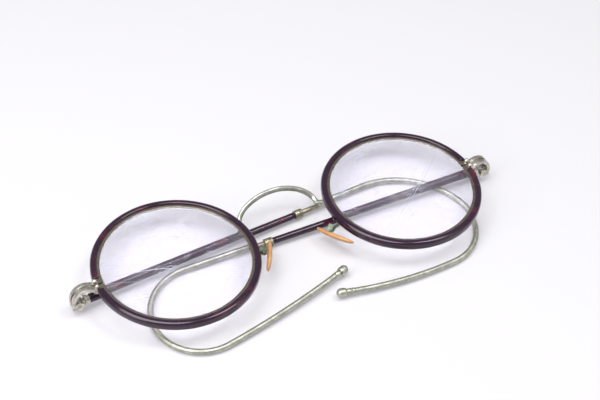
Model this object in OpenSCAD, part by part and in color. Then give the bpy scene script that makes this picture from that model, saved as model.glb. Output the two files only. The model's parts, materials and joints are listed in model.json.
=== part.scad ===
// Round metal spectacles with celluloid-covered rims, rocking nose pads and wound-cable ear hooks.
// Drawn folded and lying on their back: X runs across the lenses, Y is up when worn, +Z faces forward.

/* [Front] */
// Distance between the two lens centres
lens_pitch = 66.5; // [64:0.5:70]
// Outer diameter of each covered rim
rim_od = 44; // [42:0.5:46]
// Depth of the rim cover from front to back
rim_depth = 2.7; // [2.5:0.1:3.2]
// Width of the break in the rim cover at the end piece
cover_gap = 4; // [3.6:0.2:6]
// Width of the slit that splits the eyewire
eyewire_slit = 0.5; // [0.3:0.1:0.8]
// Height of the end pieces above the lens centres
end_y = 0.5; // [0:0.1:2]

/* [Lenses] */
// Radius of the front surface of a lens
lens_front_radius = 130; // [110:5:200]
// Thickness at the middle of a lens
lens_thickness = 1.7; // [1.4:0.1:2.0]

/* [Bridge] */
// Half the distance between the two feet of the arch
bridge_half_span = 11.4; // [11:0.1:12]
// Height of the middle of the arch above the lens centres
bridge_top_y = 12.4; // [11:0.1:14]
// Height of the two feet above the lens centres
bridge_foot_y = 6.3; // [5.5:0.1:7]
// Distance of the feet behind the rim fronts
bridge_foot_depth = 4.4; // [4:0.1:5]
// Height of the bridge wire's section
bridge_wire_h = 1.5; // [1.2:0.1:1.8]
// Depth of the bridge wire's section
bridge_wire_d = 1.15; // [0.9:0.05:1.4]

/* [Nose pads] */
// Length of a nose pad
pad_length = 11.8; // [10:0.2:13]
// Width of a nose pad
pad_width = 4; // [3.4:0.2:5]
// Thickness of a nose pad
pad_thickness = 1.3; // [1.1:0.1:1.6]
// Lean of a pad's upper end toward the nose
pad_lean = 27; // [20:1:32]
// Tilt of a pad's upper end toward the face
pad_tilt = 10; // [5:1:15]
// Turn of the left pad's face toward the back, as bent in use
left_pad_splay = 6; // [0:1:15]
// Turn of the right pad's face toward the back
right_pad_splay = 40; // [30:1:45]

/* [Hinges] */
// Half the distance between the two hinge axes
hinge_half_span = 59.9; // [59.5:0.1:61]
// Distance of the hinge axes behind the rim fronts
hinge_depth = 5; // [4.8:0.1:5.6]
// Radius of the hinge barrels
barrel_r = 1.25; // [1.15:0.05:1.4]
// Radius of a hinge screw
screw_r = 0.55; // [0.45:0.05:0.65]
// Radial clearance of the screws and pins in their holes
hole_clearance = 0.05; // [0.02:0.01:0.08]

/* [Temples] */
// Angle by which the folded temples lean away from the lenses
fold_dive = 1.5; // [1.4:0.05:1.8]
// Length of the celluloid sleeve
sleeve_length = 62; // [58:1:64]
// Radius of the sleeve at the hinge
sleeve_r_hinge = 1.25; // [1.1:0.05:1.3]
// Radius of the sleeve at the ferrule
sleeve_r_end = 0.95; // [0.85:0.05:1]
// Radius of the core wire inside the sleeve
core_r = 0.55; // [0.45:0.05:0.6]
// Radius of the bare shank between ferrule and cable
shank_r = 0.72; // [0.6:0.02:0.76]
// Length of the shank
shank_length = 5; // [3:0.5:7]
// Radius of the wound cable
cable_r = 0.8; // [0.7:0.05:0.85]

/* [Left ear hook] */
// Rise of the folded left temple across the lenses
left_rise = 6.1; // [6.0:0.1:6.5]
// Distance from the left hinge to the first bend
left_reach = 87; // [86:0.5:88]
// Radius of the left hook's first bend
left_bend_1 = 21; // [20:0.5:22]
// Turn of the left hook's first bend
left_turn_1 = 82; // [79:1:84]
// Radius of the left hook's second bend
left_bend_2 = 15; // [14:0.5:16]
// Turn of the left hook's second bend
left_turn_2 = 98; // [95:1:101]
// Radius of the left hook's last bend
left_bend_3 = 100; // [90:5:120]
// Turn of the left hook's last bend
left_turn_3 = 17; // [15:1:19]

/* [Right ear hook] */
// Rise of the folded right temple across the lenses
right_rise = 0.6; // [0.4:0.1:0.7]
// Distance from the right hinge to the first bend
right_reach = 90; // [89.5:0.5:90.5]
// Radius of the right hook's first bend
right_bend_1 = 14.5; // [13.5:0.5:15.5]
// Turn of the right hook's first bend
right_turn_1 = 104; // [102:1:106]
// Radius of the right hook's second bend
right_bend_2 = 12.5; // [12:0.5:13.5]
// Turn of the right hook's second bend
right_turn_2 = 87; // [85:1:89]
// Radius of the right hook's last bend
right_bend_3 = 250; // [230:10:270]
// Turn of the right hook's last bend
right_turn_3 = 8; // [7:1:9]

/* [Hidden] */
$fn = 64;
LEFT = -1;
RIGHT = 1;
fit_gap = 0.02;

// Rim section, measured from the lens axis and back from the rim front
rim_r = rim_od / 2;
cover_inner_r = rim_r - 1.8;
cover_round = 0.9;
eyewire_outer_r = rim_r - 1.1;
eyewire_inner_r = rim_r - 2.5;
eyewire_front = 0.6;
eyewire_back = 2.2;
groove_z = -(eyewire_front + eyewire_back) / 2;
groove_half = 0.5;
groove_r = rim_r - 1.8;
lens_edge_r = groove_r - 0.05;
bevel_depth = 1.5;
bevel_half = 0.86;

// Lens surfaces, placed so that the edge bevel sits midway between them
lens_back_radius = lens_front_radius + 2;
bevel_inner_r = lens_edge_r - bevel_depth;
front_sag = lens_front_radius - sqrt(pow(lens_front_radius, 2) - pow(bevel_inner_r, 2));
lens_apex = groove_z + bevel_half + front_sag - 0.02;

// Celluloid notches where metal feet reach the eyewire
bridge_foot_angle = 16;
arm_foot_angle = -8;
foot_r = (eyewire_inner_r + eyewire_outer_r) / 2;
notch_r = 1.05;

// Bridge foot: wire that turns back to a small round pad on the eyewire
foot_wire_r = 0.6;
foot_drop = 0.75;
foot_lean = 0.35;
foot_pad_r = 0.75;
foot_pad_h = 0.4;
foot_fn = 20;

// End piece: a strap that arches outward and back to the hinge barrels
strap_t = 0.9;
strap_arc_r = 3.3;
strap_start_angle = 140;
strap_half_h = 1.4;
strap_outer_x = hinge_half_span + 1.3;
strap_arc_x = strap_outer_x - strap_arc_r;
strap_arc_z = -(hinge_depth - 1.3);
boss_r = 0.72;
boss_x = lens_pitch / 2 + rim_r - 0.35;
boss_y = 0.95;
block_length = 2.1;
split_half = eyewire_slit / 2;

// Hinge stack along Y: lower end piece, temple joint, upper end piece
joint_half_h = 0.5;
barrel_gap = 0.06;
barrel_top = 1.6;
joint_pocket_top = 1.4;
screw_hole_r = screw_r + hole_clearance;
screw_head_r = 1.05;
screw_head_h = 0.5;
screw_slot_w = 0.3;

// Temple stations, measured from the hinge axis
flange_start = 1.7;
flange_end = 2.4;
sleeve_start = 3;
sleeve_end = sleeve_start + sleeve_length;
ferrule_length = 2.3;
ferrule_r = 1.25;
cable_start = sleeve_end + ferrule_length + shank_length;
core_hole_r = core_r + fit_gap;

// Ear tip, measured from the end of the cable
stem_length = 2.2;
stem_r = 0.85;
neck_r = 0.65;
ball_r = 1.2;
land_start = 2.9;
land_length = 0.8;

// Nose pad pivot on the right side, and the pad's own frame around it
pad_pivot = [9.9, -3.7, -3.7];
left_box_back = [0.95, 0.42, -0.6];
right_box_back = [0.85, 0.45, -0.25];
pad_offset = 1.35;
pad_drop = 1.9;
pin_r = 0.32;
pin_hole_r = pin_r + 0.04;
lug_half = 0.4;
ear_t = 0.4;
ear_gap = 0.06;
ear_r = 0.75;
ear_reach = 1.2;
ear_back_x = 0.9;
ear_back_t = 0.35;
arm_wire_r = 0.42;

// Pad mount: a tube on the pin, a neck, and a plate let into the back of the pad
mount_tube_r = 0.65;
mount_neck = [1.1, 1, 2 * lug_half];
mount_plate = [0.35, 2.4, 1.8];
mount_plate_x = -1.3;

// Centre line of a folded temple from the cable's start, in the plane of the fold
function bend_point(p, heading, r, turn) =
    p + r * [sin(heading) - sin(heading - turn), cos(heading - turn) - cos(heading)];
function bend_points(p, heading, r, turn, n) = [for (i = [1:n]) bend_point(p, heading, r, turn * i / n)];
function hook_line(reach, rise, bends) =
    let (along = [cos(rise), sin(rise)])
    let (first = bend_points(reach * along, rise, bends[0][0], bends[0][1], 12))
    let (h1 = rise - bends[0][1])
    let (second = bend_points(first[11], h1, bends[1][0], bends[1][1], 12))
    let (h2 = h1 - bends[1][1])
    let (third = bend_points(second[11], h2, bends[2][0], bends[2][1], 9))
    concat([cable_start * along, (cable_start + reach) / 2 * along, reach * along], first, second, third);
left_bends = [[left_bend_1, left_turn_1], [left_bend_2, left_turn_2], [left_bend_3, left_turn_3]];
right_bends = [[right_bend_1, right_turn_1], [right_bend_2, right_turn_2], [right_bend_3, right_turn_3]];
left_line = hook_line(left_reach, left_rise, left_bends);
right_line = hook_line(right_reach, right_rise, right_bends);
left_end_heading = left_rise - left_turn_1 - left_turn_2 - left_turn_3;
right_end_heading = right_rise - right_turn_1 - right_turn_2 - right_turn_3;
both_lines = concat(left_line, right_line);
furthest = max([for (p = both_lines) p[0]]);
lowest = min([for (p = both_lines) p[1]]);

// The part rests on its ear hooks, with the origin under the middle of its outline
rest_height = hinge_depth + furthest * sin(fold_dive) + cable_r * cos(fold_dive);
lens_y = -(rim_r + end_y + lowest - cable_r) / 2;

module at_rest() {
    translate([0, lens_y, rest_height]) children();
}

// Moves a piece drawn on the right side to either side
module on_side(side) {
    at_rest() mirror([side == LEFT ? 1 : 0, 0, 0]) children();
}

module at_lens() {
    translate([lens_pitch / 2, 0, 0]) children();
}

// Turns a drawing in X and Z into a bar that runs along Y
module along_y(y0, y1) {
    translate([0, y1, 0]) rotate([90, 0, 0]) linear_extrude(y1 - y0) children();
}

module bar_y(x, z, r, y0, y1) {
    translate([x, y1, z]) rotate([90, 0, 0]) cylinder(r = r, h = y1 - y0);
}

// Sweeps an oval of half axes a and b along a list of points; ref sets which way b points
function unit(v) = v / norm(v);
function ring(p, t, ref, a, b, n) =
    let (s = unit(cross(t, ref)))
    let (u = cross(s, t))
    [for (k = [0:n - 1]) p + a * cos(360 * k / n) * s + b * sin(360 * k / n) * u];
module swept(points, a, b, ref, n = 12) {
    last = len(points) - 1;
    rings = [for (i = [0:last])
        each ring(points[i], unit(points[min(i + 1, last)] - points[max(i - 1, 0)]), ref, a, b, n)];
    sides = [for (i = [0:last - 1], k = [0:n - 1])
        [i * n + k, i * n + (k + 1) % n, (i + 1) * n + (k + 1) % n, (i + 1) * n + k]];
    caps = [[for (k = [0:n - 1]) n - 1 - k], [for (k = [0:n - 1]) last * n + k]];
    polyhedron(rings, concat(sides, caps));
}

// ---- Rims and lenses ----

module eyewire_section() {
    difference() {
        translate([eyewire_inner_r, -eyewire_back])
            square([eyewire_outer_r - eyewire_inner_r, eyewire_back - eyewire_front]);
        polygon([[eyewire_inner_r - 0.1, groove_z + groove_half], [groove_r, groove_z],
            [eyewire_inner_r - 0.1, groove_z - groove_half]]);
    }
}

module eyewire(side) {
    color([0.62, 0.58, 0.50]) on_side(side) at_lens() difference() {
        rotate_extrude($fn = 160) eyewire_section();
        translate([eyewire_inner_r - 1, end_y - split_half, -rim_depth])
            cube([4, eyewire_slit, rim_depth]);
    }
}

module cover_section() {
    core_w = rim_r - cover_round - cover_inner_r;
    difference() {
        union() {
            translate([cover_inner_r, -rim_depth]) square([core_w, rim_depth]);
            translate([cover_inner_r, cover_round - rim_depth])
                square([rim_r - cover_inner_r, rim_depth - 2 * cover_round]);
            translate([rim_r - cover_round, -cover_round]) circle(r = cover_round);
            translate([rim_r - cover_round, cover_round - rim_depth]) circle(r = cover_round);
        }
        translate([cover_inner_r - 1, -eyewire_back - fit_gap])
            square([eyewire_outer_r - cover_inner_r + 1 + fit_gap,
                eyewire_back - eyewire_front + 2 * fit_gap]);
    }
}

// Notch in the back of the cover, at an angle above the line to the nose
module foot_notch(angle) {
    translate([-foot_r * cos(angle), foot_r * sin(angle), -rim_depth - 1])
        cylinder(r = notch_r, h = rim_depth + 1 - eyewire_back + fit_gap);
}

module rim_cover(side) {
    color([0.13, 0.05, 0.08]) on_side(side) at_lens() difference() {
        rotate_extrude($fn = 160) cover_section();
        translate([cover_inner_r - 1, end_y - cover_gap / 2, -rim_depth - 1])
            cube([4, cover_gap, rim_depth + 2]);
        foot_notch(bridge_foot_angle);
        foot_notch(arm_foot_angle);
    }
}

module lens(side) {
    color([0.80, 0.80, 0.88, 0.35]) on_side(side) at_lens() rotate_extrude($fn = 160) difference() {
        intersection() {
            translate([0, lens_apex - lens_front_radius]) circle(r = lens_front_radius, $fn = 360);
            polygon([[0, groove_z + 5], [bevel_inner_r, groove_z + 5],
                [bevel_inner_r, groove_z + bevel_half], [lens_edge_r, groove_z],
                [bevel_inner_r, groove_z - bevel_half], [bevel_inner_r, groove_z - 5], [0, groove_z - 5]]);
        }
        translate([0, lens_apex - lens_thickness - lens_back_radius])
            circle(r = lens_back_radius, $fn = 360);
    }
}

// ---- Bridge ----

function bridge_point(t) = [bridge_half_span * sin(t),
    bridge_foot_y + (bridge_top_y - bridge_foot_y) * pow(cos(t), 0.55),
    -bridge_foot_depth + (bridge_foot_depth + 0.1) * pow(cos(t), 1.6) - 0.1];

// Place on the back of an eyewire, at an angle above the line to the nose
function foot_place(angle) =
    [lens_pitch / 2 - foot_r * cos(angle), foot_r * sin(angle), -eyewire_back - fit_gap];

module bridge_foot() {
    foot = foot_place(bridge_foot_angle);
    elbow = foot - [foot_lean, 0, foot_drop];
    hull() {
        translate(bridge_point(88)) sphere(r = foot_wire_r, $fn = foot_fn);
        translate(elbow) sphere(r = foot_wire_r, $fn = foot_fn);
    }
    hull() {
        translate(elbow) sphere(r = foot_wire_r, $fn = foot_fn);
        translate(foot - [0, 0, foot_pad_h]) cylinder(r = foot_pad_r, h = foot_pad_h, $fn = foot_fn);
    }
}

module bridge() {
    color([0.75, 0.74, 0.70]) at_rest() {
        swept([for (i = [-22:22]) bridge_point(4 * i)], bridge_wire_h / 2, bridge_wire_d / 2, [0, 0, 1]);
        bridge_foot();
        mirror([1, 0, 0]) bridge_foot();
    }
}

// ---- End pieces and hinge screws ----

module strap_profile() {
    difference() {
        translate([strap_arc_x, strap_arc_z]) circle(r = strap_arc_r + strap_t / 2);
        translate([strap_arc_x, strap_arc_z]) circle(r = strap_arc_r - strap_t / 2);
        translate([strap_arc_x - 10, strap_arc_z - 10]) square([20, 10]);
        translate([strap_arc_x, strap_arc_z]) rotate(strap_start_angle) square([10, 10]);
    }
    translate([strap_outer_x - strap_t / 2, -hinge_depth - 1.1])
        square([strap_t, strap_arc_z + hinge_depth + 1.1]);
}

// One half of the split end piece, from y0 to y1 above the slit, soldered to one end of the eyewire
module end_piece(side, upward) {
    lens_centre_y = upward ? -end_y : end_y;
    barrel_bottom = joint_half_h + barrel_gap;
    color([0.78, 0.74, 0.66]) on_side(side) translate([0, end_y, 0])
    mirror([0, upward ? 0 : 1, 0]) difference() {
        union() {
            along_y(split_half, strap_half_h) strap_profile();
            translate([boss_x, boss_y, -eyewire_back]) cylinder(r = boss_r, h = eyewire_back - 0.3);
            translate([boss_x, boss_y, -0.3]) sphere(r = boss_r);
            translate([lens_pitch / 2 + eyewire_outer_r - 0.5, split_half, -eyewire_back])
                cube([block_length, strap_half_h - split_half, eyewire_back - eyewire_front]);
            bar_y(hinge_half_span, -hinge_depth, barrel_r, barrel_bottom, barrel_top);
        }
        translate([lens_pitch / 2, lens_centre_y, -rim_depth - 5])
            cylinder(r = eyewire_outer_r + fit_gap, h = 10, $fn = 160);
        translate([hinge_half_span - barrel_r - 0.1, -1, -hinge_depth - 3])
            cube([2 * barrel_r + 0.2, barrel_bottom + 1, joint_pocket_top + 3]);
        bar_y(hinge_half_span, -hinge_depth, screw_hole_r, 0, 4);
    }
}

module hinge_screw(side) {
    color([0.70, 0.67, 0.60]) on_side(side) translate([0, end_y, 0]) difference() {
        union() {
            bar_y(hinge_half_span, -hinge_depth, screw_r, -barrel_top, barrel_top + 0.1);
            bar_y(hinge_half_span, -hinge_depth, screw_head_r,
                barrel_top + fit_gap, barrel_top + screw_head_h);
        }
        translate([hinge_half_span - 2, barrel_top + screw_head_h / 2, -hinge_depth - screw_slot_w / 2])
            cube([4, 1, screw_slot_w]);
    }
}

// ---- Nose pads ----

// The pad's frame: X away from the nose, Y along the pad, Z along its pin
module at_pad(side) {
    splay = side == LEFT ? left_pad_splay : right_pad_splay;
    translate(pad_pivot) rotate([0, 0, pad_lean]) rotate([-pad_tilt, 0, 0]) rotate([0, -splay, 0])
        children();
}

module pin_z(r, z0, z1) {
    translate([0, 0, z0]) cylinder(r = r, h = z1 - z0);
}

module pad_arm(side) {
    foot = foot_place(arm_foot_angle);
    box_back = pad_pivot + (side == LEFT ? left_box_back : right_box_back);
    color([0.55, 0.60, 0.50]) on_side(side) {
        at_pad(side) difference() {
            union() {
                for (z = [-1, 1]) mirror([0, 0, z < 0 ? 1 : 0]) {
                    pin_z(ear_r, lug_half + ear_gap, lug_half + ear_gap + ear_t);
                    translate([0, -ear_r, lug_half + ear_gap]) cube([ear_reach, 2 * ear_r, ear_t]);
                }
                translate([ear_back_x, -ear_r, -lug_half - ear_gap - ear_t])
                    cube([ear_back_t, 2 * ear_r, 2 * (lug_half + ear_gap + ear_t)]);
            }
            pin_z(pin_hole_r, -3, 3);
        }
        route = [foot, foot - [0, 0, 0.7], foot + [-0.2, 0.1, -1.4], foot + [-0.8, 0, -1.9],
            foot + [-1.5, -0.2, -1.9], box_back + [0.5, 0.1, 0], box_back];
        swept(route, arm_wire_r, arm_wire_r, [0, 1, 0.2], 10);
    }
}

module pad_pin(side) {
    reach = lug_half + ear_gap + ear_t + 0.15;
    color([0.66, 0.63, 0.55]) on_side(side) at_pad(side) pin_z(pin_r, -reach, reach);
}

// The plate on a pad mount; a longer and wider one cuts its pocket in the pad
module mount_box(length, extra) {
    translate([mount_plate_x - extra, -mount_plate[1] / 2 - extra, -mount_plate[2] / 2 - extra])
        cube([length, mount_plate[1] + 2 * extra, mount_plate[2] + 2 * extra]);
}

module pad_mount(side) {
    color([0.66, 0.63, 0.55]) on_side(side) at_pad(side) difference() {
        union() {
            pin_z(mount_tube_r, -lug_half, lug_half);
            translate([-mount_neck[0], -mount_neck[1] / 2, -lug_half]) cube(mount_neck);
            mount_box(mount_plate[0], 0);
        }
        pin_z(pin_hole_r, -3, 3);
    }
}

module nose_pad(side) {
    end_w = pad_width / 2;
    color([0.80, 0.52, 0.22]) on_side(side) at_pad(side) difference() {
        translate([-pad_offset, -pad_drop, 0]) hull() {
            for (y = [-1, 1]) translate([0.25, y * (pad_length / 2 - end_w * 0.8), 0])
                scale([pad_thickness / pad_width, 0.8, y < 0 ? 1 : 0.85]) sphere(r = end_w, $fn = 32);
            translate([-0.1, 0, 0]) scale([pad_thickness / pad_width, 1, 1]) sphere(r = end_w, $fn = 32);
        }
        mount_box(2 * pad_thickness, fit_gap);
    }
}

// ---- Temples ----

// A temple's frame: the hinge axis on Y and the shaft along +X, for the temple hinged on the given side
module at_hinge(side) {
    at_rest() mirror([side == RIGHT ? 1 : 0, 0, 0])
        translate([-hinge_half_span, end_y, -hinge_depth]) rotate([0, fold_dive, 0]) children();
}

module on_shaft(side) {
    at_hinge(side) rotate([0, 0, side == LEFT ? left_rise : right_rise]) children();
}

module rod_x(r0, r1, x0, x1) {
    translate([x0, 0, 0]) rotate([0, 90, 0]) cylinder(r1 = r0, r2 = r1, h = x1 - x0);
}

module temple_joint(side) {
    color([0.70, 0.67, 0.60]) difference() {
        union() {
            at_hinge(side) {
                bar_y(0, 0, barrel_r, -joint_half_h, joint_half_h);
                translate([0, -joint_half_h, -0.85]) cube([flange_start + 0.3, 2 * joint_half_h, 1.7]);
            }
            on_shaft(side) rod_x(1.35, 1.35, flange_start, flange_end);
            on_shaft(side) rod_x(1.1, 1.1, flange_end, sleeve_start);
        }
        at_hinge(side) bar_y(0, 0, screw_hole_r, -2, 2);
        on_shaft(side) rod_x(core_hole_r, core_hole_r, flange_start, sleeve_start + 1);
    }
}

module temple_core(side) {
    color([0.62, 0.60, 0.54]) on_shaft(side) {
        rod_x(core_r, core_r, flange_start + fit_gap, cable_start);
        rod_x(shank_r, shank_r, sleeve_end + ferrule_length + fit_gap, cable_start);
    }
}

module temple_sleeve(side) {
    color([0.13, 0.05, 0.08]) on_shaft(side) difference() {
        rod_x(sleeve_r_hinge, sleeve_r_end, sleeve_start, sleeve_end);
        rod_x(core_hole_r, core_hole_r, sleeve_start - 1, sleeve_end + 1);
    }
}

module ferrule(side) {
    color([0.72, 0.68, 0.58]) on_shaft(side) difference() {
        rod_x(ferrule_r, ferrule_r, sleeve_end, sleeve_end + ferrule_length);
        rod_x(core_hole_r, core_hole_r, sleeve_end - 1, cable_start);
    }
}

module ear_cable(side) {
    line = side == LEFT ? left_line : right_line;
    color([0.60, 0.61, 0.56]) at_hinge(side)
        swept([for (p = line) [p[0], p[1], 0]], cable_r, cable_r, [0, 0, 1]);
}

module ear_tip(side) {
    line = side == LEFT ? left_line : right_line;
    color([0.72, 0.70, 0.63]) at_hinge(side) translate(line[len(line) - 1])
    rotate([0, 0, side == LEFT ? left_end_heading : right_end_heading]) {
        rod_x(stem_r, stem_r, fit_gap, stem_length);
        rod_x(neck_r, neck_r, stem_length, land_start);
        rod_x(ball_r, ball_r, land_start, land_start + land_length);
        for (x = [land_start, land_start + land_length]) intersection() {
            translate([x, 0, 0]) sphere(r = ball_r);
            rod_x(2, 2, stem_length + 0.3, land_start + land_length + 2);
        }
    }
}

eyewire(LEFT);  // left_eyewire
eyewire(RIGHT);  // right_eyewire
rim_cover(LEFT);  // left_rim_cover
rim_cover(RIGHT);  // right_rim_cover
lens(LEFT);  // left_lens
lens(RIGHT);  // right_lens
bridge();
end_piece(LEFT, true);  // left_end_piece_upper
end_piece(RIGHT, true);  // right_end_piece_upper
end_piece(LEFT, false);  // left_end_piece_lower
end_piece(RIGHT, false);  // right_end_piece_lower
hinge_screw(LEFT);  // left_hinge_screw
hinge_screw(RIGHT);  // right_hinge_screw
pad_arm(LEFT);  // left_pad_arm
pad_arm(RIGHT);  // right_pad_arm
pad_pin(LEFT);  // left_pad_pin
pad_pin(RIGHT);  // right_pad_pin
pad_mount(LEFT);  // left_pad_mount
pad_mount(RIGHT);  // right_pad_mount
nose_pad(LEFT);  // left_nose_pad
nose_pad(RIGHT);  // right_nose_pad
temple_joint(LEFT);  // left_temple_joint
temple_joint(RIGHT);  // right_temple_joint
temple_core(LEFT);  // left_temple_core
temple_core(RIGHT);  // right_temple_core
temple_sleeve(LEFT);  // left_temple_sleeve
temple_sleeve(RIGHT);  // right_temple_sleeve
ferrule(LEFT);  // left_ferrule
ferrule(RIGHT);  // right_ferrule
ear_cable(LEFT);  // left_ear_cable
ear_cable(RIGHT);  // right_ear_cable
ear_tip(LEFT);  // left_ear_tip
ear_tip(RIGHT);  // right_ear_tip
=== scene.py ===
import json
import math

import bmesh
import bpy
import numpy as np
from mathutils import Matrix, Vector


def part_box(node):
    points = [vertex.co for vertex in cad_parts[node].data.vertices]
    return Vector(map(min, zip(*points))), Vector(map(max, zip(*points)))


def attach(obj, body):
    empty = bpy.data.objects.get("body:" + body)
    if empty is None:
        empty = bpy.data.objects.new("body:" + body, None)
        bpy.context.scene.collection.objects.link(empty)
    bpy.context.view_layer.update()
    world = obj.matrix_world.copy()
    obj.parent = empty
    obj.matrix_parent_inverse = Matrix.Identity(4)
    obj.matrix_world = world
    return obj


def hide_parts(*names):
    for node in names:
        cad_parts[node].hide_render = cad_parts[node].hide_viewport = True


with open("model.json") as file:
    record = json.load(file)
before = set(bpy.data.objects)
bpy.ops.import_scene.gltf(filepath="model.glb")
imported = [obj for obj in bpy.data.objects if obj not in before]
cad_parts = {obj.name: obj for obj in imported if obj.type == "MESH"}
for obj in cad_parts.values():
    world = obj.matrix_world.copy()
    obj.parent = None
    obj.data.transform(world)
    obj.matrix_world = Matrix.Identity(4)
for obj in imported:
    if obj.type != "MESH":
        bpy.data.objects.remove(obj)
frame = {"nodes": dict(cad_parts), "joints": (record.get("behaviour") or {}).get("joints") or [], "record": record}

# Shapes are drawn in millimetres in the glasses' own frame: X across the lenses, Y up when worn, Z forward,
# with the origin midway between the lenses on the plane of the rim fronts. Each is drawn on the right side.
MM = 0.001
LEFT, RIGHT = -1, 1
SIDES = {"left": LEFT, "right": RIGHT}

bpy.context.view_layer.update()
front_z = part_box("left_rim_cover")[1].z
lens_y = sum(p.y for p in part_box("left_lens")) / 2
origin = np.array((0, lens_y, front_z))
joint_at = {j["name"]: (np.array(j["pos_m"]) - origin) / MM for j in frame["joints"]}
lens_x = sum(p.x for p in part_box("right_lens")) / 2 / MM
lens_apex = (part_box("right_lens")[1].z - front_z) / MM
hinge_x, end_y, hinge_z = joint_at["right_temple_fold"]


# ---- Camera, floor and light ----

def view_basis(azimuth, elevation, roll):
    """The camera's right, up and back directions, with azimuth 0 looking along +Y."""
    a, e, r = (math.radians(x) for x in (azimuth, elevation, roll))
    back = Vector((math.sin(a) * math.cos(e), -math.cos(a) * math.cos(e), math.sin(e)))
    right = Vector((math.cos(a), math.sin(a), 0))
    up = back.cross(right)
    return (math.cos(r) * right + math.sin(r) * up, math.cos(r) * up - math.sin(r) * right, back)


def add_camera(target, distance, azimuth, elevation, roll, lens):
    """The scene's camera, at a distance from a target, with its angles in degrees."""
    right, up, back = view_basis(azimuth, elevation, roll)
    data = bpy.data.cameras.new("camera")
    data.lens = lens
    data.sensor_width = 36
    data.clip_start = 0.01
    camera = bpy.data.objects.new("camera", data)
    facing = Matrix((right, up, back)).transposed().to_4x4()
    camera.matrix_world = Matrix.Translation(target + distance * back) @ facing
    bpy.context.scene.collection.objects.link(camera)
    bpy.context.scene.camera = camera


def add_area(name, location, size, power):
    """A round softbox that faces the origin."""
    data = bpy.data.lights.new(name, "AREA")
    data.shape = "DISK"
    data.size = size
    data.energy = power
    light = bpy.data.objects.new(name, data)
    light.location = location
    light.rotation_euler = (-Vector(location)).to_track_quat("-Z", "Y").to_euler()
    bpy.context.scene.collection.objects.link(light)


def add_world(colour, strength):
    """Even light from all round."""
    world = bpy.data.worlds.new("world")
    bpy.context.scene.world = world
    world.use_nodes = True
    background = world.node_tree.nodes["Background"]
    background.inputs["Color"].default_value = (*colour, 1)
    background.inputs["Strength"].default_value = strength


def add_floor(half_width, clear_share):
    """A pale floor that lets a little through, so that a temple swung down past it still shows."""
    h = half_width
    mesh = bpy.data.meshes.new("floor")
    mesh.from_pydata([(-h, -h, 0), (h, -h, 0), (h, h, 0), (-h, h, 0)], [], [(0, 1, 2, 3)])
    floor = bpy.data.objects.new("floor", mesh)
    bpy.context.scene.collection.objects.link(floor)
    material, _, shader = new_material("floor")
    shader.inputs["Base Color"].default_value = (0.86, 0.85, 0.86, 1)
    shader.inputs["Roughness"].default_value = 0.8
    shader.inputs["Alpha"].default_value = 1 - clear_share
    mesh.materials.append(material)


# ---- Shapes: each returns (points, faces), in millimetres ----

def grid(rings):
    """Joins rings of points, each with the same number of points, into a skin with flat ends."""
    rings = np.asarray(rings, float)
    n, m = rings.shape[:2]
    faces = []
    for i in range(n - 1):
        a, b = i * m, (i + 1) * m
        faces += [(a + k, a + (k + 1) % m, b + (k + 1) % m, b + k) for k in range(m)]
    faces += [tuple(range(m))[::-1], tuple(range((n - 1) * m, n * m))]
    return rings.reshape(-1, 3), faces


def rounded(corners, steps):
    """A closed outline with each corner (x, y, radius) rounded off."""
    corners = [np.array(c, float) for c in corners]
    outline = []
    for before, corner, after in zip(corners[-1:] + corners[:-1], corners, corners[1:] + corners[:1]):
        p, r = corner[:2], corner[2]
        if r == 0:
            outline.append(p)
            continue
        a, b = (p + r * (q[:2] - p) / np.linalg.norm(q[:2] - p) for q in (before, after))
        for t in np.linspace(0, 1, steps):
            outline.append((1 - t) ** 2 * a + 2 * t * (1 - t) * p + t ** 2 * b)
    return np.array(outline)


def around(profile, angles, change=None):
    """Turns a profile of (radius, z) points round the Z axis through the given angles, in radians.
    change(profile, angle) may reshape it on the way."""
    rings = []
    for a in angles:
        p = profile if change is None else change(profile, a)
        rings.append(np.column_stack((p[:, 0] * math.cos(a), p[:, 0] * math.sin(a), p[:, 1])))
    return rings


def turned(profile, sides):
    """A lathe piece along X from (x, radius) points."""
    spin = np.linspace(0, 2 * math.pi, sides, endpoint=False)
    return grid([[(x, r * math.cos(a), r * math.sin(a)) for a in spin] for x, r in profile])


def smooth_path(points, steps):
    """A curve through the points, with that many steps between each two."""
    p = np.array(points, float)
    p = np.vstack((2 * p[0] - p[1], p, 2 * p[-1] - p[-2]))
    t = np.linspace(0, 1, steps, endpoint=False)[:, None]
    path = [0.5 * (2 * p[i] + (p[i + 1] - p[i - 1]) * t
                   + (2 * p[i - 1] - 5 * p[i] + 4 * p[i + 1] - p[i + 2]) * t ** 2
                   + (3 * p[i] - p[i - 1] - 3 * p[i + 1] + p[i + 2]) * t ** 3) for i in range(1, len(p) - 2)]
    return np.vstack(path + [p[-2:-1]])


def carried_frames(path, across):
    """Two directions square to the path at each point, carried along it without twisting."""
    along = np.gradient(path, axis=0)
    along /= np.linalg.norm(along, axis=1)[:, None]
    frames = []
    u = np.array(across, float)
    for t in along:
        u = u - (u @ t) * t
        u /= np.linalg.norm(u)
        frames.append((u, np.cross(t, u)))
    return frames


def tube(path, half_u, half_v, across, sides):
    """An oval wire along a path. half_u and half_v are its half sizes, one number or one for each point."""
    path = np.asarray(path, float)
    half_u, half_v = (np.broadcast_to(h, len(path)) for h in (half_u, half_v))
    spin = np.linspace(0, 2 * math.pi, sides, endpoint=False)
    rings = [p + np.outer(hu * np.cos(spin), u) + np.outer(hv * np.sin(spin), v)
             for p, (u, v), hu, hv in zip(path, carried_frames(path, across), half_u, half_v)]
    return grid(rings)


def plate(outline, z0, z1):
    """A flat plate of the given outline between two heights."""
    return grid([np.column_stack((outline, np.full(len(outline), z))) for z in (z0, z1)])


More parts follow.
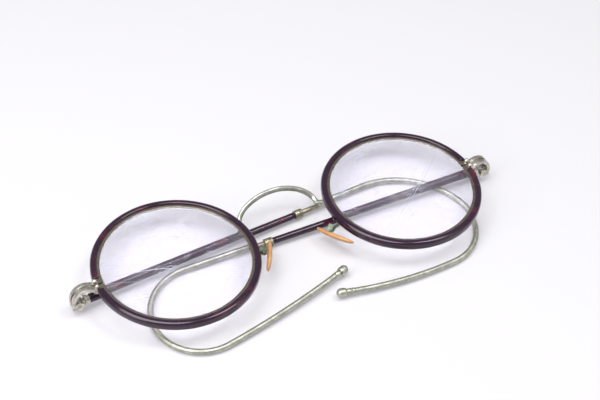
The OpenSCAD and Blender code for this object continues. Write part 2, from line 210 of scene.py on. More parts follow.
def moved(shape, matrix):
    """The shape with its points put through a matrix."""
    points, faces = shape
    points = np.asarray(points)
    m = np.array(matrix)
    return points @ m[:3, :3].T + m[:3, 3], faces


def joined(*shapes):
    """Several shapes as one."""
    points, faces, count = [], [], 0
    for p, f in shapes:
        points.append(p)
        faces += [tuple(k + count for k in face) for face in f]
        count += len(p)
    return np.vstack(points), faces


def place(x, y, z):
    """A move by that much."""
    return Matrix.Translation((x, y, z))


def turn(degrees, axis):
    """A turn about an axis through the origin."""
    return Matrix.Rotation(math.radians(degrees), 4, axis)


# ---- Pieces ----

def add_piece(name, shape, side, body, slot, material, sharp=40, bevel=0, groove=None):
    """Makes the piece that stands for the CAD node of the same name, mirrored to its side. Edges sharper than
    `sharp` degrees stay crisp, and groove is each point's depth in a winding."""
    points, faces = shape
    points = points * (side, 1, 1) * MM + origin
    mesh = bpy.data.meshes.new(name)
    mesh.from_pydata([tuple(p) for p in points], [], faces)
    if groove is not None:
        mesh.attributes.new("groove", "FLOAT", "POINT").data.foreach_set("value", groove.astype(np.float32))
    mesh.materials.append(material)
    bm = bmesh.new()
    bm.from_mesh(mesh)
    bmesh.ops.recalc_face_normals(bm, faces=bm.faces)
    bm.to_mesh(mesh)
    bm.free()
    mesh.shade_smooth()
    mesh.set_sharp_from_angle(angle=math.radians(sharp))
    piece = bpy.data.objects.new("shown_" + name, mesh)
    bpy.context.scene.collection.objects.link(piece)
    if bevel:
        add_bevel(piece, bevel)
    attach(piece, body)
    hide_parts(name)


def add_bevel(piece, width):
    """Rounds the piece's sharp edges."""
    weld = piece.modifiers.new("weld", "WELD")
    weld.merge_threshold = 0.001 * MM
    bevel = piece.modifiers.new("bevel", "BEVEL")
    bevel.width = width * MM
    bevel.segments = 3
    bevel.limit_method = "ANGLE"
    bevel.angle_limit = math.radians(40)
    bevel.harden_normals = True


def finish_node(name, material, bevel):
    """Gives a CAD node that stays its material and rounded edges."""
    node = frame["nodes"][name]
    node.data.materials.clear()
    node.data.materials.append(material)
    add_bevel(node, bevel)


# Rim and eyewire, measured from the lens axis
RIM_R, RIM_DEPTH, COVER_INNER_R, COVER_ROUND = 22, 2.7, 20.2, 1.1
WIRE_INNER_R, WIRE_OUTER_R, WIRE_FRONT, WIRE_BACK = 19.5, 20.9, -0.6, -2.2
GROOVE_R, GROOVE_Z, GROOVE_HALF = 20.2, -1.4, 0.5
COVER_GAP, COVER_LIP, COVER_END_ROUND, COVER_END_SHRINK, SLIT = 4, 0.03, 0.3, 0.12, 0.5
FOOT_R = (WIRE_INNER_R + WIRE_OUTER_R) / 2
BRIDGE_FOOT_ANGLE, ARM_FOOT_ANGLE, NOTCH_R, NOTCH_SLOPE = 16, -8, 1.05, 0.12
# Slight unevenness of the cover: the height of each wave, how many go round the rim, and where it starts
COVER_WAVES = ((0.018, 5, 1), (0.012, 13, 0), (0.007, 29, 2))


def open_ring(radius, gap, centre_y, steps):
    """Angles once round the rim, leaving a gap of that width about the end piece."""
    start = math.asin((centre_y + gap / 2) / radius)
    end = 2 * math.pi + math.asin((centre_y - gap / 2) / radius)
    return np.linspace(start, end, steps)


def cover_shape():
    """The celluloid ring: a channel that holds the eyewire, notched behind for the bridge and the pad arm."""
    channel_r = WIRE_OUTER_R + COVER_LIP
    channel_back, channel_front = WIRE_BACK - COVER_LIP, WIRE_FRONT + COVER_LIP
    profile = rounded((
        (COVER_INNER_R, 0, 0.62), (RIM_R, 0, COVER_ROUND), (RIM_R, -RIM_DEPTH, COVER_ROUND),
        (COVER_INNER_R, -RIM_DEPTH, 0.3), (COVER_INNER_R, channel_back, 0.08), (channel_r, channel_back, 0),
        (channel_r, channel_front, 0), (COVER_INNER_R, channel_front, 0.08)), 7)
    feet = [math.radians(180 - a) for a in (BRIDGE_FOOT_ANGLE, ARM_FOOT_ANGLE)]
    angles = open_ring(RIM_R, COVER_GAP, end_y, 560)
    middle = profile.mean(axis=0)

    def change(p, a):
        """Makes the cover uneven, notches its back at the feet and rounds its two ends."""
        p = p.copy()
        wave = sum(height * (math.sin(count * a + start) - 1) for height, count, start in COVER_WAVES)
        outer = (p[:, 0] - COVER_INNER_R) / (RIM_R - COVER_INNER_R)
        p[:, 0] += np.clip(outer, 0, 1) * wave
        near = min(abs(a - f) for f in feet) * FOOT_R
        notch = np.clip((NOTCH_R + NOTCH_SLOPE - near) / (2 * NOTCH_SLOPE), 0, 1)
        back = WIRE_BACK - 2 * COVER_LIP
        p[:, 1] = np.where(p[:, 1] < back, p[:, 1] + notch * (back - p[:, 1]), p[:, 1])
        from_end = min(a - angles[0], angles[-1] - a) * RIM_R
        if from_end < COVER_END_ROUND:
            shrink = COVER_END_SHRINK * (1 - math.sqrt(1 - (1 - from_end / COVER_END_ROUND) ** 2))
            p += (middle - p) * shrink
        return p

    end_steps = np.linspace(0, COVER_END_ROUND - 0.02, 6) / RIM_R
    steps = np.concatenate((angles[0] + end_steps, angles[2:-2], angles[-1] - end_steps[::-1]))
    return moved(grid(around(profile, steps, change)), place(lens_x, 0, 0))


def eyewire_shape():
    """The split metal ring, with the groove that holds the lens."""
    profile = rounded((
        (WIRE_INNER_R, WIRE_FRONT, 0.16), (WIRE_OUTER_R, WIRE_FRONT, 0.1), (WIRE_OUTER_R, WIRE_BACK, 0.1),
        (WIRE_INNER_R, WIRE_BACK, 0.16), (WIRE_INNER_R, GROOVE_Z - GROOVE_HALF, 0.06),
        (GROOVE_R, GROOVE_Z, 0), (WIRE_INNER_R, GROOVE_Z + GROOVE_HALF, 0.06)), 5)
    return moved(grid(around(profile, open_ring(FOOT_R, SLIT, end_y, 360))), place(lens_x, 0, 0))


# Lens: the radii of its two faces, and the bevel that sits in the eyewire's groove
LENS_FRONT_R, LENS_BACK_R, LENS_THICKNESS = 130, 132, 1.7
LENS_R, BEVEL_HALF, BEVEL_EDGE_R = 19.42, 0.4, 20.1


def lens_shape():
    """A meniscus lens with a bevelled edge."""
    def cap(radius, top, r):
        """Height of a ball-shaped face at the distance r from its middle."""
        return top - radius + np.sqrt(radius ** 2 - r ** 2)

    r = np.linspace(0.02, LENS_R, 26)
    front = np.column_stack((r, cap(LENS_FRONT_R, lens_apex, r)))
    back = np.column_stack((r, cap(LENS_BACK_R, lens_apex - LENS_THICKNESS, r)))
    bevel = [(LENS_R, GROOVE_Z + BEVEL_HALF), (BEVEL_EDGE_R, GROOVE_Z), (LENS_R, GROOVE_Z - BEVEL_HALF)]
    profile = np.vstack((front, bevel, back[::-1]))
    spin = np.linspace(0, 2 * math.pi, 160, endpoint=False)
    rings = np.array(around(profile, spin)).transpose(1, 0, 2)
    return moved(grid(rings), place(lens_x, 0, 0))


# Bridge: an arch that thins to round wire at its feet on the eyewires
BRIDGE_HALF_SPAN, BRIDGE_TOP_Y, BRIDGE_FOOT_Y, BRIDGE_FOOT_DEPTH = 11.4, 12.4, 6.3, 4.4
BRIDGE_HALF_H, BRIDGE_HALF_D, BRIDGE_FOOT_WIRE = 0.75, 0.575, 0.6
BRIDGE_THIN_FROM, BRIDGE_THIN_OVER = 10.8, 1.5


def foot_place(angle):
    """Place on the back of the eyewire, at an angle above the line to the nose."""
    a = math.radians(angle)
    return np.array((lens_x - FOOT_R * math.cos(a), FOOT_R * math.sin(a), WIRE_BACK))


def arch_point(t):
    """A point on the bridge's centre line, from the middle at 0 to the side at a right angle."""
    s, c = math.sin(t), max(math.cos(t), 0)
    return (BRIDGE_HALF_SPAN * s, BRIDGE_FOOT_Y + (BRIDGE_TOP_Y - BRIDGE_FOOT_Y) * c ** 0.55,
            -BRIDGE_FOOT_DEPTH - 0.1 + (BRIDGE_FOOT_DEPTH + 0.1) * c ** 1.6)


def solder_pad(at, radius, height):
    """A round pad with a hollow fillet, spread on the back of the eyewire."""
    profile = [(0, 0.02), (0, radius), (0.12, radius), (0.2, 0.9 * radius), (0.34, 0.8 * radius),
               (height, 0.74 * radius), (height, 0.02)]
    return moved(turned(profile, 24), place(*at) @ turn(90, "Y"))


def bridge_shape():
    """The arched wire and its two soldered feet."""
    arch = [arch_point(t) for t in np.radians(np.linspace(0, 87, 24))]
    foot = foot_place(BRIDGE_FOOT_ANGLE)
    elbow = foot + (-0.35, 0, -0.75)
    half = smooth_path(arch + [(elbow + arch[-1]) / 2 + (0.12, -0.05, -0.1), elbow, foot + (0, 0, -0.05)], 5)
    path = np.vstack((half[::-1] * (-1, 1, 1), half[1:]))
    far = np.clip((np.abs(path[:, 0]) - BRIDGE_THIN_FROM) / BRIDGE_THIN_OVER, 0, 1)
    shape = tube(path, BRIDGE_HALF_H + far * (BRIDGE_FOOT_WIRE - BRIDGE_HALF_H),
                 BRIDGE_HALF_D + far * (BRIDGE_FOOT_WIRE - BRIDGE_HALF_D), (0, 1, 0), 28)
    pads = [solder_pad(foot * (s, 1, 1), 0.95, 0.5) for s in (LEFT, RIGHT)]
    return joined(shape, *pads)


# Nose pads, in the pad's frame: X away from the nose, Y along the pad, Z along its pin
PAD_LEAN, PAD_TILT = 27, 10
PAD_LENGTH, PAD_WIDTH, PAD_THICKNESS, PAD_OFFSET, PAD_DROP = 11.8, 4, 1.3, 1.35, 1.9
PAD_BOW, PAD_BOW_LEVEL, PAD_FLARE = 0.35, 0.35, 0.09
PAD_SPLAY = {"left": 6, "right": 40}
# From the pad's pin to where the arm's wire meets the box round it
BOX_BACK = {"left": (0.95, 0.42, -0.6), "right": (0.85, 0.45, -0.25)}
LUG_INNER, LUG_OUTER, LUG_R, LUG_REACH, LUG_BACK, ARM_R = 0.46, 0.86, 0.75, 1.2, 0.3, 0.42


def pad_frame(side):
    """Where a pad sits. The left pad is drawn on the right too and mirrored later."""
    return (place(*joint_at["right_pad_rock"]) @ turn(PAD_LEAN, "Z") @ turn(-PAD_TILT, "X")
            @ turn(-PAD_SPLAY[side], "Y"))


def nose_pad_shape(side):
    """A flat drop of celluloid, a little wider below and bowed away from the nose at its ends."""
    rings = []
    for v in np.linspace(-1, 1, 49):
        s = math.sin(v * math.pi / 2)
        y = s * PAD_LENGTH / 2
        width = PAD_WIDTH / 2 * max(1 - abs(s) ** 2.6, 0.0004) ** 0.5 * (1 - PAD_FLARE * s)
        thick = PAD_THICKNESS / 2 * max(1 - abs(s) ** 4, 0.0004) ** 0.5
        spin = np.linspace(0, 2 * math.pi, 40, endpoint=False)
        z = width * np.sign(np.cos(spin)) * np.abs(np.cos(spin)) ** 0.92
        x = thick * np.sign(np.sin(spin)) * np.abs(np.sin(spin)) ** 0.8 + PAD_BOW * (s * s - PAD_BOW_LEVEL)
        rings.append(np.column_stack((x, np.full(40, y), z)))
    return moved(grid(rings), pad_frame(side) @ place(-PAD_OFFSET, -PAD_DROP, 0))


def pad_arm_shape(side):
    """A wire that loops back from the eyewire to a small box round the pad's pin."""
    foot = foot_place(ARM_FOOT_ANGLE)
    box_back = joint_at["right_pad_rock"] + BOX_BACK[side]
    route = [foot, foot + (0, 0, -0.7), foot + (-0.2, 0.1, -1.4), foot + (-0.8, 0, -1.9),
             foot + (-1.5, -0.2, -1.9), box_back + (0.5, 0.1, 0), box_back]
    wire = tube(smooth_path(route, 8), ARM_R, ARM_R, (0, 1, 0.2), 18)
    round_end = [(LUG_R * math.cos(a), LUG_R * math.sin(a)) for a in np.radians(np.linspace(90, 270, 17))]
    lug = np.array(round_end + [(LUG_REACH, -LUG_R), (LUG_REACH, LUG_R)])
    near = LUG_REACH - LUG_BACK
    back = np.array([(near, -LUG_R), (LUG_REACH, -LUG_R), (LUG_REACH, LUG_R), (near, LUG_R)])
    box = joined(plate(lug, LUG_INNER, LUG_OUTER), plate(lug, -LUG_OUTER, -LUG_INNER),
                 plate(back, -LUG_INNER, LUG_INNER))
    return joined(wire, moved(box, pad_frame(side)), solder_pad(foot, 0.85, 0.45))


# Temples, in a frame with the hinge axis on Y and the folded shaft along X
FOLD_DIVE = 1.5
SLEEVE_START, SLEEVE_END, SLEEVE_R_HINGE, SLEEVE_R_END = 3, 65, 1.25, 0.95
# Slight unevenness of the sleeve: the height of each wave and how fast it runs, in radians per millimetre
SLEEVE_WAVES = ((0.012, 1.3), (0.008, 3.1))
FERRULE_END, FERRULE_R, CORE_R, SHANK_R, CABLE_START, CABLE_R = 67.3, 1.25, 0.55, 0.72, 72.3, 0.8
# Each temple's upward slope in degrees, how far from the hinge its straight stretch ends, and the radius and
# angle of each bend of its ear hook
HOOKS = {
    "left": {"rise": 6.1, "reach": 87, "bends": ((21, 82), (15, 98), (100, 17))},
    "right": {"rise": 0.6, "reach": 90, "bends": ((14.5, 104), (12.5, 87), (250, 8))}}
# The cable's winding, with so many rings of points to a turn and points to a ring
WINDING_PITCH, WINDING_DEPTH, WINDING_RINGS, CABLE_SIDES = 0.38, 0.05, 7, 18


def temple_frame():
    """The frame of the temple hinged on the right; the left one is its mirror image."""
    return place(hinge_x, end_y, hinge_z) @ Matrix.Scale(-1, 4, (1, 0, 0)) @ turn(FOLD_DIVE, "Y")


def shaft_frame(side):
    """The temple's frame turned so that X follows the straight shaft."""
    return temple_frame() @ turn(HOOKS[side]["rise"], "Z")


def sleeve_shape(side):
    """The tapered celluloid sleeve, slightly wavy along its length."""
    slope = (SLEEVE_R_END - SLEEVE_R_HINGE) / (SLEEVE_END - SLEEVE_START)
    taper = [(x, SLEEVE_R_HINGE + slope * (x - SLEEVE_START)
              + sum(height * (math.sin(rate * x) - 1) for height, rate in SLEEVE_WAVES))
             for x in np.linspace(SLEEVE_START + 0.35, SLEEVE_END - 0.5, 90)]
    lip = [(SLEEVE_START, CORE_R + 0.03), (SLEEVE_START, 1.0), (SLEEVE_START + 0.08, 1.13),
           (SLEEVE_START + 0.2, 1.2)]
    end = [(SLEEVE_END - 0.3, 0.9), (SLEEVE_END - 0.1, 0.84), (SLEEVE_END, 0.74), (SLEEVE_END, CORE_R + 0.03)]
    return moved(turned(lip + taper + end, 40), shaft_frame(side))


def ferrule_shape(side):
    """The ring that ends the sleeve, with two turned grooves."""
    a, b, r = SLEEVE_END, FERRULE_END, FERRULE_R
    profile = [(a, CORE_R + 0.02), (a, r - 0.08), (a + 0.05, r - 0.02), (a + 0.14, r), (a + 0.42, r),
               (a + 0.5, r - 0.07), (a + 0.6, r - 0.07), (a + 0.68, r - 0.01), (b - 0.7, r - 0.03),
               (b - 0.62, r - 0.09), (b - 0.52, r - 0.09), (b - 0.44, r - 0.02), (b - 0.16, r - 0.03),
               (b - 0.04, r - 0.1), (b, r - 0.2), (b, CORE_R + 0.02)]
    return moved(turned(profile, 40), shaft_frame(side))


def core_shape(side):
    """The core wire, with the thicker bare shank between the ferrule and the cable."""
    a, b, r = FERRULE_END + 0.03, CABLE_START, SHANK_R
    profile = [(1.75, 0.02), (1.75, CORE_R), (a, CORE_R), (a, r - 0.06), (a + 0.1, r), (a + 1.6, r - 0.02),
               (b - 1.3, r - 0.01), (b - 1.1, r - 0.07), (b - 0.95, r - 0.07), (b - 0.8, r), (b - 0.1, r),
               (b, r - 0.08), (b, 0.02)]
    return moved(turned(profile, 28), shaft_frame(side))


def hook_line(side, spacing):
    """Centre line of a temple's cable in the plane of the fold: a straight stretch and three arcs.
    Returns its points, evenly spaced, and the direction in degrees at its end."""
    hook = HOOKS[side]
    heading = hook["rise"]
    along = np.array((math.cos(math.radians(heading)), math.sin(math.radians(heading))))
    line = [t * along for t in np.arange(CABLE_START, hook["reach"], spacing)]
    at = hook["reach"] * along
    for radius, bend in hook["bends"]:
        n = max(2, round(radius * math.radians(bend) / spacing))
        h = [math.radians(heading - bend * k / n) for k in range(n + 1)]
        sin_0, cos_0 = math.sin(h[0]), math.cos(h[0])
        arc = [at + radius * np.array((sin_0 - math.sin(a), math.cos(a) - cos_0)) for a in h]
        line += arc[:-1]
        at = arc[-1]
        heading -= bend
    return np.array(line + [at]), heading


def cable_shape(side):
    """Fine wire wound closely round the core: a skin with one helical groove. Also returns each point's depth
    in the groove, from 0 on the crests to 1 in the bottom."""
    step = WINDING_PITCH / WINDING_RINGS
    line, _ = hook_line(side, step)
    path = np.column_stack((line, np.zeros(len(line))))
    frames = carried_frames(path, (0, 0, 1))
    spin = np.linspace(0, 2 * math.pi, CABLE_SIDES, endpoint=False)
    rings, depths = [], []
    for i, (p, (u, v)) in enumerate(zip(path, frames)):
        phase = i / WINDING_RINGS - spin / (2 * math.pi)
        depth = 1 - np.abs(np.sin(math.pi * phase)) ** 0.7
        r = CABLE_R - WINDING_DEPTH * depth
        rings.append(p + np.outer(r * np.cos(spin), u) + np.outer(r * np.sin(spin), v))
        depths.append(depth)
    points, faces = moved(grid(rings), temple_frame())
    return (points, faces), np.concatenate(depths)


def tip_shape(side):
    """A crimped stem, a neck and a flattened ball."""
    line, heading = hook_line(side, 0.5)
    ball_r, land_start, land_end, top = 1.2, 2.9, 3.7, 4.9
    ball_angles = np.radians(np.linspace(0, 88, 12))
    ball = [(land_end + ball_r * math.sin(a), ball_r * math.cos(a)) for a in ball_angles]
    shoulder = [(land_start - math.sqrt(ball_r ** 2 - r ** 2), r) for r in (1.04, 1.1, 1.17)]
    stem = [(0.02, 0.3), (0.02, 0.78), (0.1, 0.86), (0.5, 0.86), (0.6, 0.8), (0.72, 0.8), (0.82, 0.86),
            (1.9, 0.85), (2.1, 0.8)]
    neck = [(2.18, 0.66), (2.25, 0.64), (2.36, 0.66), (2.38, 0.9)]
    profile = stem + neck + shoulder + [(land_start, ball_r), *ball, (top, 0.01)]
    return moved(turned(profile, 36), temple_frame() @ place(*line[-1], 0) @ turn(heading, "Z"))


# ---- Materials ----

def new_material(name):
    """A material, its node tree and its main shader."""
    material = bpy.data.materials.new(name)
    material.use_nodes = True
    tree = material.node_tree
    return material, tree, tree.nodes["Principled BSDF"]


def add_node(tree, kind, inputs=None, **settings):
    """A new node with its inputs set to a value or linked to a socket."""
    node = tree.nodes.new(kind)
    for key, value in settings.items():
        setattr(node, key, value)
    for key, value in (inputs or {}).items():
        if isinstance(value, bpy.types.NodeSocket):
            tree.links.new(value, node.inputs[key])
        else:
            node.inputs[key].default_value = value
    return node


def coordinates(tree):
    """The object's own coordinates in millimetres."""
    source = add_node(tree, "ShaderNodeTexCoord").outputs["Object"]
    return add_node(tree, "ShaderNodeMapping", {"Vector": source, "Scale": (1 / MM,) * 3}).outputs["Vector"]


def noise(tree, vector, per_mm, detail, roughness=0.55, distortion=0.0):
    """Cloudy noise from 0 to 1, with per_mm clouds to the millimetre."""
    return add_node(tree, "ShaderNodeTexNoise", {
        "Vector": vector, "Scale": per_mm, "Detail": detail, "Roughness": roughness,
        "Distortion": distortion}).outputs["Fac"]


def ramp(tree, value, low, high, out_low=0.0, out_high=1.0):
    """Spreads value from low..high to out_low..out_high, held at both ends."""
    limits = {"From Min": low, "From Max": high, "To Min": out_low, "To Max": out_high}
    return add_node(tree, "ShaderNodeMapRange", {"Value": value, **limits}).outputs["Result"]


def mixed(tree, share, a, b):
    """Colour a where share is 0 and b where it is 1."""
    node = add_node(tree, "ShaderNodeMix", data_type="RGBA")
    for key, value in (("Factor", share), ("A", a), ("B", b)):
        socket = [s for s in node.inputs if s.name == key and s.enabled][0]
        if isinstance(value, bpy.types.NodeSocket):
            tree.links.new(value, socket)
        else:
            socket.default_value = (*value, 1) if key != "Factor" else value
    return [s for s in node.outputs if s.enabled][0]


def maths(tree, operation, a, b=0):
    """An arithmetic step on one or two values."""
    return add_node(tree, "ShaderNodeMath", {0: a, 1: b}, operation=operation).outputs[0]


def add_bump(tree, shader, height, depth_mm, strength):
    """Small relief on the surface, from a height of 0 to 1."""
    bump = add_node(tree, "ShaderNodeBump", {
        "Height": height, "Distance": depth_mm * MM, "Strength": strength})
    tree.links.new(bump.outputs["Normal"], shader.inputs["Normal"])


def celluloid(name, dark, warm, fleck, warm_share):
    """Polished plastic with clouds of a warmer colour, small flecks and a worn, finely scratched skin."""
    material, tree, shader = new_material(name)
    at = coordinates(tree)
    clouds = noise(tree, at, 0.16, 5, 0.6, 0.8)
    streaks = noise(tree, at, 0.9, 3)
    share = ramp(tree, maths(tree, "ADD", clouds, maths(tree, "MULTIPLY", streaks, 0.3)),
                 0.78 - warm_share, 0.92 - warm_share)
    colour = mixed(tree, share, dark, warm)
    flecks = ramp(tree, noise(tree, at, 1.3, 2, 0.5), 0.70, 0.75)
    fleck_share = maths(tree, "MULTIPLY", flecks, ramp(tree, clouds, 0.48, 0.6, 0, 0.7))
    colour = mixed(tree, fleck_share, colour, fleck)
    tree.links.new(colour, shader.inputs["Base Color"])
    wear = noise(tree, at, 0.8, 6, 0.7)
    tree.links.new(ramp(tree, wear, 0.35, 0.7, 0.12, 0.24), shader.inputs["Roughness"])
    scratches = noise(tree, at, 7, 3, 0.7)
    add_bump(tree, shader, maths(tree, "ADD", wear, maths(tree, "MULTIPLY", scratches, 0.3)), 0.015, 0.3)
    shader.inputs["Coat Weight"].default_value = 0.4
    shader.inputs["Coat Roughness"].default_value = 0.05
    shader.inputs["Coat Tint"].default_value = (0.95, 0.84, 1, 1)
    shader.inputs["Specular IOR Level"].default_value = 0.35
    return material


def amber():
    """Aged clear-amber plastic, cloudy and dull, with dirt specks."""
    material, tree, shader = new_material("amber_celluloid")
    at = coordinates(tree)
    clouds = noise(tree, at, 0.35, 4, 0.6, 0.5)
    colour = mixed(tree, ramp(tree, clouds, 0.35, 0.7), (0.43, 0.21, 0.075), (0.62, 0.35, 0.16))
    specks = ramp(tree, noise(tree, at, 2.6, 3, 0.6), 0.66, 0.74)
    colour = mixed(tree, maths(tree, "MULTIPLY", specks, 0.6), colour, (0.17, 0.09, 0.04))
    tree.links.new(colour, shader.inputs["Base Color"])
    wear = noise(tree, at, 1.4, 5, 0.65)
    tree.links.new(ramp(tree, wear, 0.3, 0.7, 0.3, 0.5), shader.inputs["Roughness"])
    add_bump(tree, shader, wear, 0.03, 0.4)
    shader.inputs["Subsurface Weight"].default_value = 0.25
    shader.inputs["Subsurface Radius"].default_value = (1.2 * MM, 0.6 * MM, 0.2 * MM)
    shader.inputs["Subsurface Scale"].default_value = 1
    return material


def metal(name, bright, dull, tarnish_and_shade, rough, verdigris, shade_in_groove):
    """Old nickel silver: worn bright in places, dull or tarnished in others, with dark specks and, where
    asked, green verdigris. rough is its roughness where bright and where dull, and verdigris about the share
    of the surface that it covers. A grooved piece is darkened in its groove, partly tarnish and partly painted
    shade."""
    material, tree, shader = new_material(name)
    at = coordinates(tree)
    patches = noise(tree, at, 0.55, 6, 0.62, 0.4)
    colour = mixed(tree, ramp(tree, patches, 0.38, 0.62), bright, dull)
    specks = ramp(tree, noise(tree, at, 3.2, 4, 0.7), 0.60, 0.70)
    dark = maths(tree, "MULTIPLY", specks, 0.55)
    if shade_in_groove:
        # The winding groove is darkened with the tarnish colour: partly tarnish, partly painted shade for the
        # groove's shadow
        depth = add_node(tree, "ShaderNodeAttribute", attribute_name="groove").outputs["Fac"]
        dark = maths(tree, "MAXIMUM", dark, ramp(tree, depth, 0.35, 0.95, 0, 0.6))
    colour = mixed(tree, dark, colour, tarnish_and_shade)
    fine = noise(tree, at, 5, 4, 0.7)
    rough_now = maths(tree, "ADD", ramp(tree, patches, 0.35, 0.65, rough[0], rough[1]),
                      maths(tree, "MULTIPLY", fine, 0.12))
    if verdigris:
        green_at = noise(tree, at, 0.9, 5, 0.65, 0.3)
        green = ramp(tree, green_at, 0.72 - 0.4 * verdigris, 0.80 - 0.4 * verdigris)
        colour = mixed(tree, green, colour, (0.16, 0.27, 0.20))
        rough_now = maths(tree, "ADD", rough_now, maths(tree, "MULTIPLY", green, 0.35))
        tree.links.new(ramp(tree, green, 0, 1, 1, 0.15), shader.inputs["Metallic"])
    else:
        shader.inputs["Metallic"].default_value = 1
    tree.links.new(colour, shader.inputs["Base Color"])
    tree.links.new(rough_now, shader.inputs["Roughness"])
    add_bump(tree, shader, maths(tree, "ADD", fine, maths(tree, "MULTIPLY", patches, 0.8)), 0.025, 0.4)
    return material


def arc_scratches(tree, at, cell_mm, spacing, reach, shift):
    """Groups of short curved scratches: parts of rings round scattered points, in some cells of a random
    grid. The rings are spacing apart and reach from one radius to another, in millimetres."""
    moved_at = add_node(tree, "ShaderNodeMapping", {"Vector": at, "Location": shift}).outputs["Vector"]
    cells = add_node(tree, "ShaderNodeTexVoronoi", {
        "Vector": moved_at, "Scale": 1 / cell_mm, "Randomness": 0.8}, voronoi_dimensions="2D")
    away = add_node(tree, "ShaderNodeVectorMath", {0: moved_at, 1: cells.outputs["Position"]},
                    operation="SUBTRACT").outputs[0]
    parts = add_node(tree, "ShaderNodeSeparateXYZ", {0: away})
    across, up = parts.outputs["X"], parts.outputs["Y"]
    flat = add_node(tree, "ShaderNodeCombineXYZ", {"X": across, "Y": up}).outputs[0]
    far = add_node(tree, "ShaderNodeVectorMath", {0: flat}, operation="LENGTH").outputs["Value"]
    uneven = maths(tree, "ADD", far, maths(tree, "MULTIPLY", noise(tree, at, 0.25, 2), 1.2))
    wave = maths(tree, "SINE", maths(tree, "MULTIPLY", uneven, 2 * math.pi / spacing))
    lines = ramp(tree, wave, 0.86, 0.99)
    band = maths(tree, "MULTIPLY", ramp(tree, far, reach[0], reach[0] + 0.6),
                 ramp(tree, far, reach[1] - 1, reach[1], 1, 0))
    # Only the upper part of each group shows, in some of the cells, and broken up
    upper = ramp(tree, maths(tree, "DIVIDE", up, far), 0.72, 0.9)
    chance = add_node(tree, "ShaderNodeSeparateXYZ", {0: cells.outputs["Color"]}).outputs["X"]
    used = ramp(tree, chance, 0.42, 0.46)
    broken = ramp(tree, noise(tree, at, 0.9, 2, 0.5), 0.40, 0.54)
    result = lines
    for share in (band, upper, used, broken):
        result = maths(tree, "MULTIPLY", result, share)
    return result


def long_scratches(tree, at, angle, per_mm, shift):
    """A few long fine scratches across the glass in one direction."""
    rotated = add_node(tree, "ShaderNodeMapping", {
        "Vector": at, "Rotation": (0, 0, math.radians(angle)), "Location": shift}).outputs["Vector"]
    stretched = add_node(tree, "ShaderNodeMapping", {
        "Vector": rotated, "Scale": (0.02, 1, 1)}).outputs["Vector"]
    ridge = maths(tree, "ABSOLUTE", maths(tree, "SUBTRACT", noise(tree, stretched, per_mm, 0, 0), 0.5))
    line = ramp(tree, ridge, 0.0002, 0.0009, 1, 0)
    return maths(tree, "MULTIPLY", line, ramp(tree, noise(tree, at, 0.06, 2), 0.48, 0.56))


def glass():
    """Clear ground glass with a thin violet-grey haze, bluish smears and scratches from being wiped.
    Lamps reach what lies behind it."""
    material, tree, shader = new_material("lens_glass")
    at = coordinates(tree)
    haze = ramp(tree, noise(tree, at, 0.05, 4, 0.6, 0.6), 0.40, 0.70, 0.0, 0.045)
    smears = ramp(tree, noise(tree, at, 0.12, 4, 0.6, 1.4), 0.56, 0.74, 0, 0.13)
    arcs = maths(tree, "MAXIMUM", arc_scratches(tree, at, 13, 1.5, (4, 9), (3, 2, 0)),
                 arc_scratches(tree, at, 9, 1.1, (2.5, 6), (5, 7, 0)))
    lines = maths(tree, "MAXIMUM", long_scratches(tree, at, 24, 0.05, (0, 0, 0)),
                  long_scratches(tree, at, -41, 0.045, (9, 0, 0)))
    marks = maths(tree, "MAXIMUM", maths(tree, "MULTIPLY", arcs, 0.75), maths(tree, "MULTIPLY", lines, 0.5))
    marks = maths(tree, "MAXIMUM", marks, maths(tree, "ADD", haze, smears))
    colour = mixed(tree, ramp(tree, marks, 0.08, 0.3), (0.86, 0.85, 0.895), (0.60, 0.63, 0.74))
    tree.links.new(colour, shader.inputs["Base Color"])
    tree.links.new(maths(tree, "SUBTRACT", 1, marks), shader.inputs["Transmission Weight"])
    tree.links.new(ramp(tree, marks, 0, 0.5, 0.01, 0.2), shader.inputs["Roughness"])
    shader.inputs["IOR"].default_value = 1.52
    shader.inputs["Specular IOR Level"].default_value = 0.3
    clear = add_node(tree, "ShaderNodeBsdfTransparent", {"Color": (0.84, 0.83, 0.87, 1)})
    path = add_node(tree, "ShaderNodeLightPath")
    mix = add_node(tree, "ShaderNodeMixShader", {
        0: path.outputs["Is Shadow Ray"], 1: shader.outputs["BSDF"], 2: clear.outputs["BSDF"]})
    tree.links.new(mix.outputs["Shader"], tree.nodes["Material Output"].inputs["Surface"])
    return material


# ---- The whole ----

# The view centre lies between the bridge and the right lens
view_centre = Vector((5.4 * MM, lens_y + 6.18 * MM, front_z))
add_camera(view_centre, distance=386.2 * MM, azimuth=-29.62, elevation=44.63, roll=3.99, lens=86.6)
add_floor(half_width=3, clear_share=0.45)
add_world(colour=(0.93, 0.92, 1), strength=0.42)
add_area("overhead", (-0.2, -0.05, 0.53), size=0.5, power=3.6)
add_area("across", (0.21, -0.09, 0.55), size=0.22, power=1.2)
add_area("side", (-0.5, -0.1, 0.3), size=0.3, power=1.0)
add_area("fill", (0.4, -0.4, 0.3), size=0.5, power=0.5)
bpy.context.scene.view_settings.view_transform = "Standard"
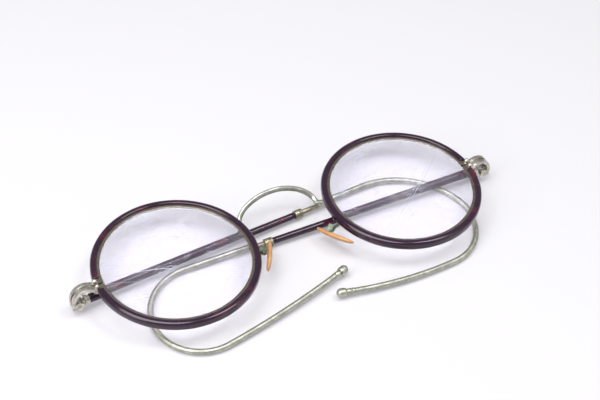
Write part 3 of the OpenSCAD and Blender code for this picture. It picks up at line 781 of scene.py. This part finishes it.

# Each metal's colour where bright, where dull and where tarnished (on the cable also the painted shade in its
# winding groove), its two roughnesses and its verdigris
METALS = {
    "eyewire_metal": ((0.28, 0.235, 0.18), (0.155, 0.14, 0.105), (0.04, 0.028, 0.016), (0.3, 0.5), 0),
    "end_piece_metal": ((0.74, 0.70, 0.62), (0.38, 0.36, 0.31), (0.08, 0.07, 0.05), (0.2, 0.38), 0.2),
    "bridge_metal": ((0.54, 0.54, 0.48), (0.30, 0.32, 0.27), (0.09, 0.10, 0.07), (0.2, 0.42), 0.12),
    "screw_metal": ((0.50, 0.47, 0.39), (0.28, 0.26, 0.21), (0.07, 0.06, 0.04), (0.3, 0.5), 0.15),
    "arm_metal": ((0.36, 0.37, 0.30), (0.20, 0.22, 0.17), (0.05, 0.06, 0.04), (0.35, 0.55), 0.6),
    "core_metal": ((0.42, 0.37, 0.27), (0.20, 0.20, 0.15), (0.05, 0.06, 0.04), (0.3, 0.5), 0.35),
    "cable_metal": ((0.55, 0.55, 0.47), (0.36, 0.37, 0.30), (0.06, 0.065, 0.045), (0.3, 0.45), 0.1)}
# The cable's metal also gets painted shade in its winding groove
slot_material = {slot: metal(slot, *look, shade_in_groove=slot == "cable_metal") for slot, look in METALS.items()}
slot_material["dark_celluloid"] = celluloid(
    "dark_celluloid", dark=(0.019, 0.006, 0.017), warm=(0.068, 0.010, 0.022), fleck=(0.26, 0.045, 0.035),
    warm_share=0.07)
slot_material["amber_celluloid"] = amber()
slot_material["lens_glass"] = glass()
node_slot = {s["node"]: s["material_slot"] for s in frame["record"]["subparts"]}
# How far the edges of the CAD nodes that stay are rounded
NODE_BEVELS = {"end_piece_upper": 0.12, "end_piece_lower": 0.12, "hinge_screw": 0.06, "temple_joint": 0.08,
               "pad_pin": 0.06, "pad_mount": 0.06}


def add_named(name, shape, side, body, **options):
    """Adds a piece with the material for the slot that its CAD node has."""
    slot = node_slot[name]
    return add_piece(name, shape, side, body, slot, slot_material[slot], **options)


add_named("bridge", bridge_shape(), RIGHT, "front")
for side_name, side in SIDES.items():
    temple = side_name + "_temple"
    add_named(side_name + "_rim_cover", cover_shape(), side, "front", sharp=50)
    add_named(side_name + "_eyewire", eyewire_shape(), side, "front", sharp=50)
    add_named(side_name + "_lens", lens_shape(), side, "front", sharp=20)
    add_named(side_name + "_pad_arm", pad_arm_shape(side_name), side, "front", bevel=0.07)
    add_named(side_name + "_nose_pad", nose_pad_shape(side_name), side, side_name + "_pad", sharp=80)
    add_named(side_name + "_temple_sleeve", sleeve_shape(side_name), side, temple)
    add_named(side_name + "_ferrule", ferrule_shape(side_name), side, temple)
    add_named(side_name + "_temple_core", core_shape(side_name), side, temple)
    cable, grooves = cable_shape(side_name)
    add_named(side_name + "_ear_cable", cable, side, temple, sharp=80, groove=grooves)
    add_named(side_name + "_ear_tip", tip_shape(side_name), side, temple)
    for part, bevel in NODE_BEVELS.items():
        name = side_name + "_" + part
        finish_node(name, slot_material[node_slot[name]], bevel)
